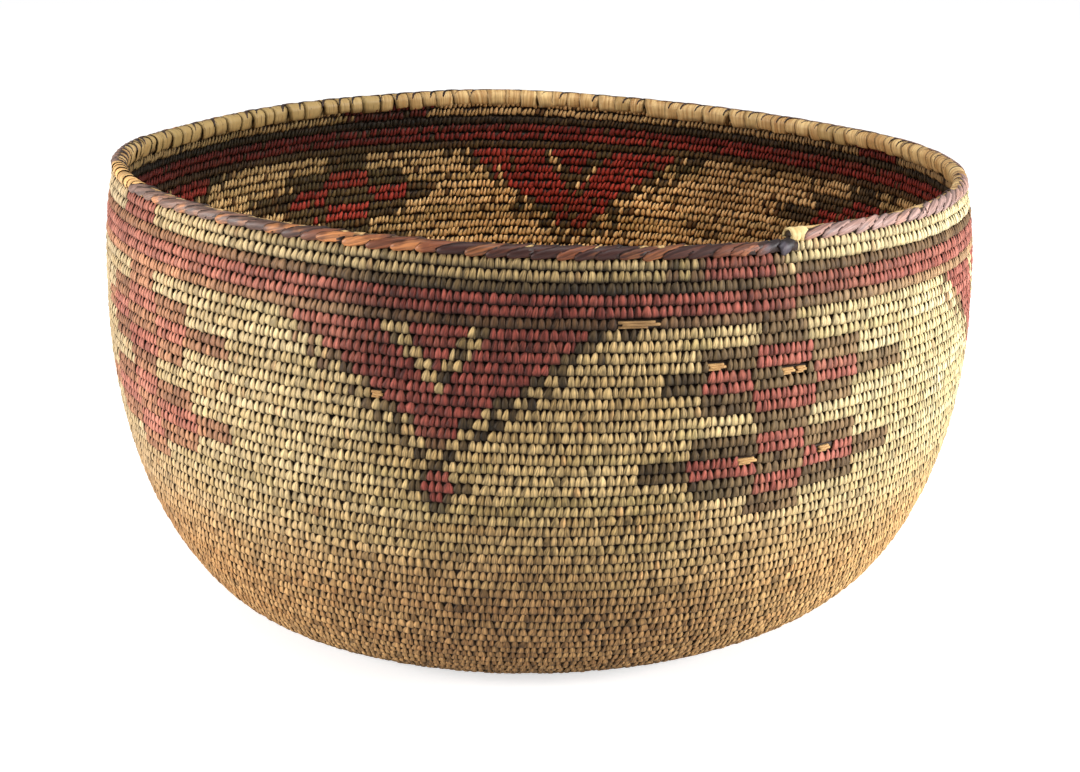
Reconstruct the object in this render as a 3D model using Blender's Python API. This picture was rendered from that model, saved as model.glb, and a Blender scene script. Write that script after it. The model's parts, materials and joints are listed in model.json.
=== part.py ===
"""Coiled feast basket: one coil, wound from the centre of a flat base up to a wrapped rim.

The coil is made as the spliced lengths that it is sewn in, each a closed solid, in metres.
+Z is up, and the origin is the centre of the base on the surface that it rests on.
Turns of the coil are counted from the rim down, and each turn starts at the jog, the line
where the spiral's end shows as a step in the rim.
"""

import math

import bmesh
import bpy
import numpy as np

# Overall shape of the outside
HEIGHT = 0.256
WIDEST_RADIUS = 0.250
WIDEST_HEIGHT = 0.175
RIM_RADIUS = 0.242
FOOT_RADIUS = 0.155
# A higher power keeps the wall upright for longer before it leans in to the rim
LEAN_IN_POWER = 3.0

# The bowl was shaped by eye: its left rim stands higher than its right by twice the rise,
# and its rim sits to the right of its base by the lean
LEFT_RIM_RISE = 0.007
RIM_LEAN = 0.0033

# The coil
COIL_PITCH = 0.00564
WALL_THICKNESS = 0.0066
GROOVE_DEPTH = 0.0013
JOG_AZIMUTH = math.radians(30)
KNOT_TURNS = 3
KNOT_CROWN = 0.0006

# The rim's wrapping
STRAP_THICKNESS = 0.0009
STRAP_PROUD = 0.0004
LASHING_THICKNESS = 0.0019
LASHING_LOW_ANGLE = math.radians(-38)
LASHING_HIGH_ANGLE = math.radians(84)
END_WRAP_WIDTH = 0.008
END_WRAP_THICKNESS = 0.0012
END_WRAP_INNER_ANGLE = math.radians(215)
END_KNOT_LENGTH = 0.0105
END_KNOT_DEPTH = 0.0040
END_KNOT_RISE = 0.0058

# Clear space between neighbouring solids
CLEARANCE = 0.0003

# Rows of each coloured band, from the rim down
UPPER_FIELD_ROWS = 2
DARK_BAND_ROWS = 1
RED_BAND_ROWS = 2
BROWN_BAND_ROWS = 1
MOTIF_ROWS = 18
HEEL_ROWS = 6

# Spliced lengths that each part of the coil is sewn in
MOTIF_LENGTHS = 6
LOWER_WALL_LENGTHS = 5
HEEL_LENGTHS = 3
BASE_LENGTHS = 5

# Flats round one turn, and points round the rod's section and along each rim strip's curve
FLATS = 36
ROD_SIDES = 8
STRIP_STEPS = 4
OUTLINE_SAMPLES = 600

COLOURS = {
    "straw": (0.56, 0.44, 0.21),
    "tan": (0.40, 0.24, 0.10),
    "red": (0.30, 0.06, 0.05),
    "brown": (0.11, 0.07, 0.04),
    "dark": (0.07, 0.05, 0.04),
    "strap": (0.50, 0.33, 0.14),
    "bark": (0.09, 0.03, 0.03),
    "rod": (0.45, 0.32, 0.15),
}
ROUGHNESS = 0.75


def trace_outline():
    """Distance down the outside from the rim, with the radius and height there."""
    above = HEIGHT + 2 * COIL_PITCH
    upper_height = np.linspace(above, WIDEST_HEIGHT, OUTLINE_SAMPLES)
    share = (upper_height - WIDEST_HEIGHT) / (HEIGHT - WIDEST_HEIGHT)
    upper_radius = WIDEST_RADIUS - (WIDEST_RADIUS - RIM_RADIUS) * share**LEAN_IN_POWER
    turn = np.linspace(0, math.pi / 2, OUTLINE_SAMPLES)[1:]
    lower_radius = FOOT_RADIUS + (WIDEST_RADIUS - FOOT_RADIUS) * np.cos(turn)
    lower_height = WIDEST_HEIGHT * (1 - np.sin(turn))
    base_radius = np.linspace(FOOT_RADIUS, 0, OUTLINE_SAMPLES)[1:]
    radius = np.concatenate([upper_radius, lower_radius, base_radius])
    height = np.concatenate([upper_height, lower_height, 0 * base_radius])
    steps = np.hypot(np.diff(radius), np.diff(height))
    distance = np.concatenate([[0], np.cumsum(steps)])
    rim = np.interp(-HEIGHT, -upper_height, distance[:OUTLINE_SAMPLES])
    return distance - rim, radius, height


DISTANCE, RADIUS, ELEVATION = trace_outline()
NORMAL_OUT = -np.gradient(ELEVATION, DISTANCE)
NORMAL_UP = np.gradient(RADIUS, DISTANCE)
TURNS_TO_FOOT = (DISTANCE[-1] - FOOT_RADIUS) / COIL_PITCH
TURNS_IN_ALL = DISTANCE[-1] / COIL_PITCH
HALF_GAP_TURNS = CLEARANCE / 2 / COIL_PITCH


def outline_at(turn, inward):
    """Radius and height at a distance in turns down the outside, a depth inside the skin."""
    distance = turn * COIL_PITCH
    out = np.interp(distance, DISTANCE, NORMAL_OUT)
    up = np.interp(distance, DISTANCE, NORMAL_UP)
    radius = np.interp(distance, DISTANCE, RADIUS) - inward * out
    height = np.interp(distance, DISTANCE, ELEVATION) - inward * up
    return radius, height


def shaped_by_eye(x, y, z):
    """Moves a point of the true round bowl to where the lopsided one has it."""
    taller = LEFT_RIM_RISE * (z / HEIGHT) * (-x / RIM_RADIUS)
    lean = RIM_LEAN * (z - WIDEST_HEIGHT) / HEIGHT
    return np.array([x + lean, y, z + taller])


def corner(column, down, inward):
    """The point on one of the flats' corner lines. Azimuth grows to the right of the front."""
    radius, height = outline_at(column / FLATS + down, inward)
    azimuth = JOG_AZIMUTH + 2 * math.pi * column / FLATS
    return shaped_by_eye(radius * math.sin(azimuth), -radius * math.cos(azimuth), height)


def coil_point(turn, down, inward):
    """A point beside the coil: turns along it, turns down from its upper edge, depth inside the skin."""
    column = math.floor(turn * FLATS + 1e-9)
    share = turn * FLATS - column
    if share < 1e-6:
        return corner(column, down, inward)
    return (1 - share) * corner(column, down, inward) + share * corner(column + 1, down, inward)


def along_turns(length, turn):
    """A length along the coil, as a share of one turn."""
    radius, _ = outline_at(turn, 0)
    return length / (2 * math.pi * radius)


def material(name):
    found = bpy.data.materials.get(name)
    if found:
        return found
    made = bpy.data.materials.new(name)
    made.use_nodes = True
    shader = made.node_tree.nodes["Principled BSDF"]
    shader.inputs["Base Color"].default_value = (*COLOURS[name], 1)
    shader.inputs["Roughness"].default_value = ROUGHNESS
    shader.inputs["Metallic"].default_value = 0
    made.diffuse_color = (*COLOURS[name], 1)
    return made


def add_object(name, shape, colour):
    bmesh.ops.recalc_face_normals(shape, faces=shape.faces)
    mesh = bpy.data.meshes.new(name)
    shape.to_mesh(mesh)
    shape.free()
    mesh.materials.append(material(colour))
    made = bpy.data.objects.new(name, mesh)
    bpy.context.scene.collection.objects.link(made)
    made.parent = basket
    return made


def add_fused_turns(name, first, last, colour, ribbed):
    """Two or more turns sewn side by side, from turn first to turn last, as one winding."""
    shape = bmesh.new()
    steps = (last - first) * FLATS
    groove = GROOVE_DEPTH if ribbed else 0

    def line_point(i, inward):
        turn = first + i / FLATS
        swing = along_turns(CLEARANCE / 2, turn)
        down = 0
        if i <= FLATS:
            down += HALF_GAP_TURNS
        if i >= steps:
            down -= HALF_GAP_TURNS
        if i in (0, FLATS):
            turn += swing
        if i in (steps, steps + FLATS):
            turn -= swing
        return shape.verts.new(coil_point(turn, down, inward))

    free_lines = [*range(FLATS + 1), *range(steps, steps + FLATS + 1)]
    shown_lines = range(steps + FLATS + 1) if ribbed else sorted(set(free_lines))
    outer = {i: line_point(i, groove) for i in shown_lines}
    inner = {i: line_point(i, WALL_THICKNESS) for i in sorted(set(free_lines))}

    def plain_skin(lines):
        for i in range(FLATS):
            face = [lines[i], lines[i + 1], lines[steps + i + 1], lines[steps + i]]
            if i == 0:
                face.append(lines[FLATS])
            if i == FLATS - 1:
                face.insert(2, lines[steps])
            shape.faces.new(face)

    crest = {}
    if ribbed:
        for i in range(steps + 1):
            swing = along_turns(CLEARANCE / 2, first + i / FLATS) * ((i == 0) - (i == steps))
            crest[i] = shape.verts.new(coil_point(first + i / FLATS + swing, 0.5, 0))
        for i in range(steps):
            shape.faces.new([outer[i], outer[i + 1], crest[i + 1], crest[i]])
            shape.faces.new([crest[i], crest[i + 1], outer[i + 1 + FLATS], outer[i + FLATS]])
    else:
        plain_skin(outer)
    plain_skin(inner)
    for start in (0, steps):
        for i in range(start, start + FLATS):
            shape.faces.new([outer[i], outer[i + 1], inner[i + 1], inner[i]])
        middle = [crest[start]] if ribbed else []
        ends = [outer[start + FLATS], inner[start + FLATS], inner[start]]
        shape.faces.new([outer[start], *middle, *ends])
    return add_object(name, shape, colour)


def add_sweep(name, section, start, end, colour, bore=None):
    """A section carried along the coil. Its points are (turns down, depth inside the skin)."""
    shape = bmesh.new()
    columns = range(math.floor(start * FLATS) + 1, math.ceil(end * FLATS))
    turns = [start, *(i / FLATS for i in columns), end]

    def loops(points):
        return [[shape.verts.new(coil_point(turn, *spot)) for spot in points] for turn in turns]

    def join(rings):
        for ring, following in zip(rings, rings[1:]):
            for i, vertex in enumerate(ring):
                shape.faces.new([vertex, ring[i - 1], following[i - 1], following[i]])

    outer = loops(section)
    join(outer)
    if bore is None:
        shape.faces.new(outer[0])
        shape.faces.new(outer[-1])
    else:
        inner = loops(bore)
        join(inner)
        for ring, hole in ((outer[0], inner[0]), (outer[-1], inner[-1])):
            for i, vertex in enumerate(ring):
                shape.faces.new([vertex, ring[i - 1], hole[i - 1], hole[i]])
    return add_object(name, shape, colour)


def add_single_turn(name, first, colour):
    upper = HALF_GAP_TURNS
    lower = 1 - HALF_GAP_TURNS
    section = [
        (upper, GROOVE_DEPTH),
        (0.5, 0),
        (lower, GROOVE_DEPTH),
        (lower, WALL_THICKNESS),
        (upper, WALL_THICKNESS),
    ]
    swing = along_turns(CLEARANCE / 2, first)
    return add_sweep(name, section, first + swing, first + 1 - swing, colour)


def add_lengths(stem, first, last, count, colour, ribbed=True):
    """Divides a run of turns into spliced lengths of near equal turns."""
    ends = [round(first + (last - first) * i / count) for i in range(count + 1)]
    for i, (begin, finish) in enumerate(zip(ends, ends[1:])):
        add_fused_turns(f"{stem}_{i + 1}", begin, finish, colour, ribbed)


def add_start_knot(first):
    """The button that the coil starts from, with the coil's step in its edge."""
    shape = bmesh.new()
    low, high = [], []
    for i in range(FLATS + 1):
        turn = first + i / FLATS
        if i in (0, FLATS):
            turn += along_turns(CLEARANCE / 2, turn)
        low.append(shape.verts.new(coil_point(turn, HALF_GAP_TURNS, 0)))
        high.append(shape.verts.new(coil_point(turn, HALF_GAP_TURNS, WALL_THICKNESS)))
    crown = shape.verts.new(shaped_by_eye(0, 0, WALL_THICKNESS + KNOT_CROWN))
    shape.faces.new(low)
    for i in range(FLATS + 1):
        shape.faces.new([low[i - 1], low[i], high[i], high[i - 1]])
        shape.faces.new([high[i - 1], high[i], crown])
    return add_object("start_knot", shape, "tan")


def rim_ring(half_up, half_out, angles):
    """Points round the middle of the rim's coil, from straight out towards up and in."""
    middle = WALL_THICKNESS / 2
    spots = []
    for angle in angles:
        up = half_up * math.sin(angle)
        out = half_out * math.cos(angle)
        spots.append((0.5 - up / COIL_PITCH, middle - out))
    return spots


def rim_strip(rise, reach, thickness, low, high, steps):
    """A strip's section, lying over the straps between two angles."""
    angles = [low + (high - low) * i / steps for i in range(steps + 1)]
    inside = rim_ring(rise, reach, angles)
    outside = rim_ring(rise + thickness, reach + thickness, angles)
    return inside + outside[::-1]


def add_rim():
    full_circle = [2 * math.pi * i / ROD_SIDES for i in range(ROD_SIDES)]
    strap_up = (COIL_PITCH - CLEARANCE) / 2
    strap_out = WALL_THICKNESS / 2 + STRAP_PROUD
    bore_up = strap_up - STRAP_THICKNESS
    bore_out = strap_out - STRAP_THICKNESS
    rod_up = bore_up - CLEARANCE
    rod_out = bore_out - CLEARANCE
    end_gap = along_turns(CLEARANCE / 2, 0)
    start, end = end_gap, 1 - end_gap
    rod = rim_ring(rod_up, rod_out, full_circle)
    straps = rim_ring(strap_up, strap_out, full_circle)
    bore = rim_ring(bore_up, bore_out, full_circle)
    add_sweep("rim_rod", rod, start, end, "rod")
    add_sweep("rim_straps", straps, start, end, "strap", bore)

    seat_up = strap_up + CLEARANCE
    seat_out = strap_out + CLEARANCE
    wrap_end = start + along_turns(END_WRAP_WIDTH, 0)
    lashing_start = wrap_end + along_turns(CLEARANCE, 0)
    knot_start = end - along_turns(END_KNOT_LENGTH, 1)
    lashing_end = knot_start - along_turns(CLEARANCE, 1)
    wrap = rim_strip(
        seat_up, seat_out, END_WRAP_THICKNESS, LASHING_LOW_ANGLE, END_WRAP_INNER_ANGLE, 2 * STRIP_STEPS
    )
    add_sweep("rim_end_wrap", wrap, start, wrap_end, "strap")
    lashing = rim_strip(
        seat_up, seat_out, LASHING_THICKNESS, LASHING_LOW_ANGLE, LASHING_HIGH_ANGLE, STRIP_STEPS
    )
    add_sweep("rim_lashing", lashing, lashing_start, lashing_end, "bark")

    # The knot is a ball pressed long and flat, measured along the coil, out of the wall and up it
    shape = bmesh.new()
    bmesh.ops.create_uvsphere(shape, u_segments=12, v_segments=8, radius=0.5)
    outward = seat_out + END_KNOT_DEPTH / 2
    for vertex in shape.verts:
        turn = (knot_start + end) / 2 + along_turns(vertex.co.y * END_KNOT_LENGTH, 1)
        up = vertex.co.z * END_KNOT_RISE
        out = outward + vertex.co.x * END_KNOT_DEPTH
        vertex.co = coil_point(turn, 0.5 - up / COIL_PITCH, WALL_THICKNESS / 2 - out)
    add_object("rim_end_knot", shape, "bark")


def add_basket():
    add_rim()
    row = 1
    add_fused_turns("upper_field_coil", row, row + UPPER_FIELD_ROWS, "straw", True)
    row += UPPER_FIELD_ROWS
    add_single_turn("dark_band_coil", row, "dark")
    row += DARK_BAND_ROWS
    add_fused_turns("red_band_coil", row, row + RED_BAND_ROWS, "red", True)
    row += RED_BAND_ROWS
    add_single_turn("brown_band_coil", row, "brown")
    row += BROWN_BAND_ROWS
    add_lengths("motif_field_coil", row, row + MOTIF_ROWS, MOTIF_LENGTHS, "straw")
    row += MOTIF_ROWS
    base_start = math.ceil(TURNS_TO_FOOT)
    heel_start = base_start - HEEL_ROWS
    knot_start = math.floor(TURNS_IN_ALL) - KNOT_TURNS
    add_lengths("lower_wall_coil", row, heel_start, LOWER_WALL_LENGTHS, "straw")
    add_lengths("heel_coil", heel_start, base_start, HEEL_LENGTHS, "tan")
    add_lengths("base_coil", base_start, knot_start, BASE_LENGTHS, "tan", ribbed=False)
    add_start_knot(knot_start)


for old in list(bpy.data.objects):
    bpy.data.objects.remove(old, do_unlink=True)
basket = bpy.data.objects.new("basket", None)
bpy.context.scene.collection.objects.link(basket)
add_basket()
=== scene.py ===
# Coiled feast basket: one spiral coil, sewn stitch by stitch, with a wrapped and lashed rim.
import json
import math
import bmesh
import bpy
import numpy as np
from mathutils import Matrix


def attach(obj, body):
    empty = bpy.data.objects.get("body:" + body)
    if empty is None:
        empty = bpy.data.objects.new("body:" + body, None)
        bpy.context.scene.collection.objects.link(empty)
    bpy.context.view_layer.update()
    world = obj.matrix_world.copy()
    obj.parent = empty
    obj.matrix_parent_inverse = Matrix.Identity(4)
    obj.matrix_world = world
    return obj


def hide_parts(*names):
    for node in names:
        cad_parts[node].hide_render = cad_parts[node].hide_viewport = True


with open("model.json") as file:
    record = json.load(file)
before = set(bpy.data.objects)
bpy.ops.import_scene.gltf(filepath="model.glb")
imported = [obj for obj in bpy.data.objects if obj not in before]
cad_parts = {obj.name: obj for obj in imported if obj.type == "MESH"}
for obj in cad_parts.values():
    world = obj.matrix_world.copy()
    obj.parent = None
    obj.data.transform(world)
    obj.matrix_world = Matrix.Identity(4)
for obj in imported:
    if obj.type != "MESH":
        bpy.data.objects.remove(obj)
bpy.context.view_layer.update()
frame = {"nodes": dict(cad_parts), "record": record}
mm = 0.001
print("frame loaded,", len(frame["nodes"]), "nodes")

bowl = {
    "height": 256 * mm,        # middle of the rim
    "widest": 250 * mm,        # radius of the belly
    "widestHeight": 175 * mm,
    "rim": 242 * mm,           # radius of the mouth
    "foot": 155 * mm,          # radius of the flat base
    "leanPower": 3.0,
    "leftRise": 7 * mm,        # the left rim stands taller
    "lean": 3.3 * mm,          # and the mouth leans to the right
    "footShift": -5 * mm,      # the base sits a little to the left
    "footReach": 40 * mm,
    "pitch": 5.64 * mm,        # one turn of the coil
    "wall": 6.6 * mm,
    "jog": 30.0,               # degrees round from the front where the turns begin
    "outlineSteps": 600,
    # where the rim stands high or low: degrees round, half spread in degrees, and how much
    "waver": ((187.0, 18.0, 3.6 * mm), (247.0, 20.0, -4.2 * mm), (132.0, 22.0, -2.2 * mm)),
    "waverPower": 7.0,
}

coilRows = {                   # turns down the coil from the rim's end
    "rimTurns": 1,
    "bands": {"upper_field_coil": 2, "dark_band_coil": 1, "red_band_coil": 2, "brown_band_coil": 1},
    # the last turn of each, and how many stretches it comes in
    "lengths": (("motif_field_coil", 25, 6), ("lower_wall_coil", 47, 5), ("heel_coil", 53, 3),
                ("base_coil", 77, 5)),
    "baseFrom": 52.5,          # sewn flat from here
    "innermost": 79.9,         # the last stitches of the start knot
    "foundationEnd": 80.15,
}


# the bowl's outline, measured down its outside from the rim
def makeOutline():
    top, middle, steps = bowl["height"], bowl["widestHeight"], bowl["outlineSteps"]
    widest, foot = bowl["widest"], bowl["foot"]
    upperZ = np.linspace(top + 2 * bowl["pitch"], middle, steps)
    share = (upperZ - middle) / (top - middle)
    upperR = widest - (widest - bowl["rim"]) * share ** bowl["leanPower"]
    turn = np.linspace(0, math.pi / 2, steps)[1:]
    lowerR = foot + (widest - foot) * np.cos(turn)
    lowerZ = middle * (1 - np.sin(turn))
    baseR = np.linspace(foot, 0, steps)[1:]
    radius = np.concatenate([upperR, lowerR, baseR])
    height = np.concatenate([upperZ, lowerZ, 0 * baseR])
    down = np.concatenate([[0], np.cumsum(np.hypot(np.diff(radius), np.diff(height)))])
    down -= np.interp(-top, -upperZ, down[:steps])
    return {"down": down, "radius": radius, "height": height,
            "outR": -np.gradient(height, down), "outZ": np.gradient(radius, down)}


outline = makeOutline()


# a point on the coil: turn along it, up in turns from its middle, out in metres from the wall's skin
def coilPoint(turn, up=0.0, out=0.0):
    turn, up, out = np.broadcast_arrays(np.asarray(turn, float), up, out)
    down = (turn + 0.5 - up) * bowl["pitch"]
    skin = {key: np.interp(down, outline["down"], values) for key, values in outline.items()}
    radius = skin["radius"] + out * skin["outR"]
    height = skin["height"] + out * skin["outZ"]
    angle = math.radians(bowl["jog"]) + 2 * math.pi * turn
    x = radius * np.sin(angle)
    taller = bowl["leftRise"] * (height / bowl["height"]) * (-x / bowl["rim"])
    lean = bowl["lean"] * (height - bowl["widestHeight"]) / bowl["height"]
    lean = lean + bowl["footShift"] * np.clip(1 - height / bowl["footReach"], 0, 1) ** 2
    waver = 0.0
    for centre, spread, rise in bowl["waver"]:
        away = degreesFrom(np.degrees(angle), centre) / spread
        waver = waver + rise * np.exp(-away ** 2)
    waver = waver * np.clip(height / bowl["height"], 0, 1.2) ** bowl["waverPower"]
    return np.stack([x + lean, -radius * np.cos(angle), height + taller + waver], -1)


def azimuthOf(turn):
    return (bowl["jog"] + 360 * np.asarray(turn)) % 360


def degreesFrom(azimuth, centre):
    return (azimuth - centre + 180) % 360 - 180


def isWithin(azimuth, low, high, margin=0.0):
    return np.abs(degreesFrom(azimuth, (low + high) / 2)) < (high - low) / 2 + margin


def unit(vectors):
    return vectors / np.linalg.norm(vectors, axis=-1, keepdims=True)


# directions along the coil and out of the wall
def coilFrame(turn, out=0.0):
    little = 0.002
    along = unit(coilPoint(turn + little, 0.0, out) - coilPoint(turn - little, 0.0, out))
    outward = unit(coilPoint(turn, 0.0, out + mm) - coilPoint(turn, 0.0, out - mm))
    outward = unit(outward - along * np.sum(outward * along, -1, keepdims=True))
    return along, outward


# samples a turn, stitches over which their widths wander, and the most that one differs, in spreads
spacing = {"samples": 400, "driftLength": 14, "widthLimit": 2}


# turns side by side along the coil, some wider than others, and the width of each as a share of a step
def spacedTurns(start, end, step, unevenness, drift, seed):
    fine = np.linspace(start, end, int((end - start) * spacing["samples"]) + 2)
    places = coilPoint(fine)
    length = np.concatenate([[0], np.cumsum(np.linalg.norm(np.diff(places, axis=0), axis=1))])
    count = max(2, int(round(length[-1] / step)))
    rng = np.random.default_rng(seed)
    every, limit = spacing["driftLength"], spacing["widthLimit"]
    bends = count // every + 2
    slow = np.interp(np.arange(count) / every, np.arange(bends), rng.normal(0, drift, bends))
    width = np.exp(slow + np.clip(rng.normal(0, 1, count), -limit, limit) * unevenness)
    width *= length[-1] / width.sum()
    return np.interp(np.cumsum(width) - width / 2, length, fine), width / step


# node maths written as plain sums: one output socket of a shader or geometry tree
class Wire:
    def __init__(self, tree, socket=None):
        self.tree = tree
        self.socket = socket

    # any other node: its type, its sockets' values or links, and its settings, which are set first
    def node(self, kind, values=None, out=0, **settings):
        made = self.tree.nodes.new(kind)
        for name, value in settings.items():
            setattr(made, name, value)
        for key, value in (values or {}).items():
            if isinstance(value, Wire):
                self.tree.links.new(value.socket, made.inputs[key])
            else:
                made.inputs[key].default_value = value
        return Wire(self.tree, made.outputs[out])

    def maths(self, operation, *others):
        return self.node("ShaderNodeMath", dict(enumerate((self, *others))), operation=operation)

    def __add__(self, other):
        return self.maths("ADD", other)

    def __sub__(self, other):
        return self.maths("SUBTRACT", other)

    def __rsub__(self, other):
        return self.node("ShaderNodeMath", {0: other, 1: self}, operation="SUBTRACT")

    def __mul__(self, other):
        return self.maths("MULTIPLY", other)

    def __truediv__(self, other):
        return self.maths("DIVIDE", other)

    def __abs__(self):
        return self.maths("ABSOLUTE")

    __radd__ = __add__
    __rmul__ = __mul__

    # 0 below low, 1 above high, smooth between
    def between(self, low, high):
        return self.node("ShaderNodeMapRange", {0: self, 1: low, 2: high}, interpolation_type="SMOOTHSTEP")

    def isNear(self, number):
        return self.maths("COMPARE", float(number), 0.4)

    # another random number, made from this one
    def scattered(self, factor, shift=0.0):
        return (self * factor + shift).maths("FRACT")

    def mixed(self, first, second, blend="MIX"):
        values = {0: self, 6: first, 7: second}
        return self.node("ShaderNodeMix", values, 2, data_type="RGBA", blend_type=blend)

    # a colour made lighter or darker by a number
    def multiplied(self, colour, tone):
        values = {0: 1.0, 6: colour, 7: self.vector(tone, tone, tone)}
        return self.node("ShaderNodeMix", values, 2, data_type="RGBA", blend_type="MULTIPLY")

    def noise(self, place, scale, detail, roughness=0.5):
        values = {"Vector": place, "Scale": scale, "Detail": detail, "Roughness": roughness}
        return self.node("ShaderNodeTexNoise", values)

    def vector(self, x, y, z):
        return self.node("ShaderNodeCombineXYZ", {0: x, 1: y, 2: z})

    def attribute(self, name):
        return self.node("ShaderNodeAttribute", None, 2, attribute_name=name)

    def parts(self):
        split = self.node("ShaderNodeSeparateXYZ", {0: self}).socket.node
        return [Wire(self.tree, socket) for socket in split.outputs]


# a colour as it looks on screen, 0 to 255, in the linear values that shaders use
def paint(red, green, blue):
    def linear(value):
        value /= 255
        return value / 12.92 if value <= 0.04045 else ((value + 0.055) / 1.055) ** 2.4
    return (linear(red), linear(green), linear(blue), 1.0)


def emptyTree(owner):
    owner.use_nodes = True
    owner.node_tree.nodes.clear()
    return Wire(owner.node_tree)


def linkOutput(bench, shader, kind="ShaderNodeOutputMaterial"):
    end = bench.tree.nodes.new(kind)
    bench.tree.links.new(shader.socket, end.inputs["Surface"])


# a finish under way: it reads the place, each strand's own number, and the way across and along it
class StrandFinish:
    def __init__(self, name):
        self.material = bpy.data.materials.new(name)
        self.bench = emptyTree(self.material)
        self.place = self.bench.node("ShaderNodeTexCoord", None, 3)
        self.x, self.y, self.z = self.place.parts()
        self.seed = self.bench.attribute("stitchSeed")
        self.across, self.along, unused = self.bench.node("ShaderNodeUVMap", uv_map="UVMap").parts()

    # grain that runs along each strand, different in every one
    def grain(self, wide, long, detail=3, roughness=0.5, shuffle=(40, 17)):
        wide, deep = self.across * wide + self.seed * shuffle[0], self.seed * shuffle[1]
        return self.bench.noise(self.bench.vector(wide, self.along * long, deep), 1.0, detail, roughness)

    # painted shade along a strand's two edges, from low out to the edge
    def edges(self, low):
        return abs(self.across - 0.5).between(low, 0.5)

    def twoTone(self, fibre, blotch, colours):
        return (fibre * 0.6 + blotch * 0.4).between(0.36, 0.66).mixed(colours["deep"], colours["pale"])

    def finish(self, colour, roughness, fibre, depth, strength, shine=0.35):
        bump = self.bench.node("ShaderNodeBump", {"Height": fibre, "Distance": depth, "Strength": strength})
        values = {"Base Color": colour, "Roughness": roughness, "Specular IOR Level": shine, "Normal": bump}
        linkOutput(self.bench, self.bench.node("ShaderNodeBsdfPrincipled", values))
        return self.material


# factors that make unrelated random numbers out of a stitch's own
scatter = {"second": 91.7, "third": 37.3, "thirdShift": 0.31}

strand = {"straw": 0, "red": 1, "dark": 2, "brown": 3}

# split strands: each in a light, a deep and a greenish tone, as they look on screen
sewingColours = {
    "outside": {
        "straw": ((218, 186, 130), (166, 134, 84), (146, 128, 80)),
        # the Pale tones and worn are for the sides, the plain tones and wornDark for the middle: paler at
        # the sides from fading and from painted side light
        "strawPale": ((250, 236, 190), (236, 214, 158), (216, 194, 138)),
        "red": ((168, 84, 70), (98, 40, 32), (122, 76, 56)),
        "redPale": ((214, 138, 118), (178, 95, 77), (188, 128, 100)),
        "dark": ((112, 90, 58), (44, 32, 19), (84, 74, 50)),
        "darkPale": ((182, 148, 108), (118, 90, 62), (144, 122, 88)),
        "brown": ((122, 88, 58), (74, 50, 31), (96, 76, 50)),
        "brownPale": ((214, 174, 132), (180, 142, 102), (176, 150, 112)),
        "worn": ((244, 200, 136), (214, 160, 98), (226, 184, 124)),
        "wornDark": ((182, 140, 91), (134, 96, 60), (154, 123, 79)),
    },
    "inside": {
        "straw": ((224, 184, 128), (164, 124, 74), (128, 106, 62)),
        "red": ((168, 60, 48), (88, 24, 17), (110, 52, 32)),
        "dark": ((92, 70, 42), (42, 31, 18), (76, 66, 38)),
        "brown": ((106, 74, 42), (60, 40, 22), (84, 68, 38)),
    },
    "oddOrange": paint(206, 150, 96),
    # painted shade for the gaps between stitches, and a browner one for the right
    "gapShade": paint(26, 14, 7),
    "gapShadeRight": paint(104, 74, 42),
    "leftVeil": paint(226, 176, 146),
}

# the light and wear round the bowl: from and to along x, and what the colour is multiplied by
sewingTints = {
    "left": (-0.06, -0.2, (0.90, 0.81, 0.765, 1.0)),
    "farLeft": (-0.17, -0.24, (0.78, 0.78, 0.84, 1.0)),
    "leftDarks": (-0.06, -0.2, (1.22, 1.05, 0.99, 1.0)),
    "rightReds": (0.04, 0.2, (0.84, 0.86, 0.90, 1.0)),
    "insideLeft": (-0.03, -0.17, (0.84, 0.87, 0.85, 1.0)),
    "insideMiddle": (-0.09, -0.03, (1.18, 1.11, 1.03, 1.0)),
    "insideFarRight": (0.08, 0.13, (0.78, 0.73, 0.71, 1.0)),
}
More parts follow.
